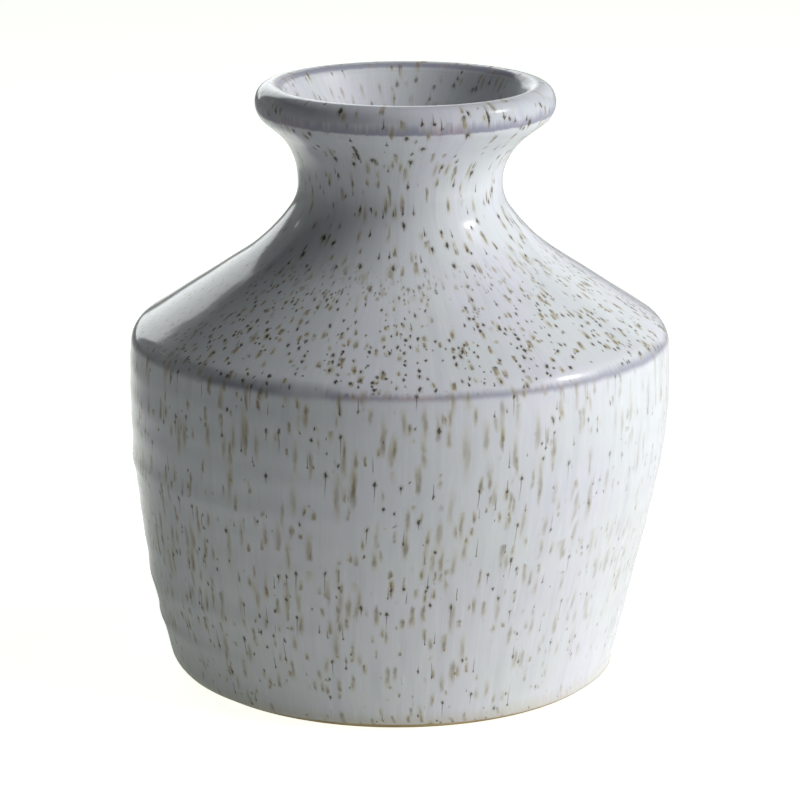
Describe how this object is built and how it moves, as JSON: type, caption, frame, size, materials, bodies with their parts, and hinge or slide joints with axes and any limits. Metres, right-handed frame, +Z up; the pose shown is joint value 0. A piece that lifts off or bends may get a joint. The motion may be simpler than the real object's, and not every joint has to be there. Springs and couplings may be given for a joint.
{
  "type": "vase",
  "caption": "Round stoneware vase with a tapered body, conical shoulder, waisted neck and rolled lip, for holding flower stems.",
  "frame": {"origin": "centre of the foot ring, on the surface that the vase stands on", "axes": "+Z up along the axis of the vase; the vase is round, so +X and +Y can point anywhere"},
  "size_m": [0.1316, 0.1316, 0.145],
  "materials": {
    "bare_clay": "fired unglazed stoneware, matt",
    "speckled_glaze": "glossy pale grey reactive glaze with brown iron specks",
    "liner_glaze": "glossy pale grey liner glaze"
  },
  "bodies": {
    "root": {"clay_body": "bare_clay", "outer_glaze": "speckled_glaze", "inner_glaze": "liner_glaze"}
  },
  "joints": []
}
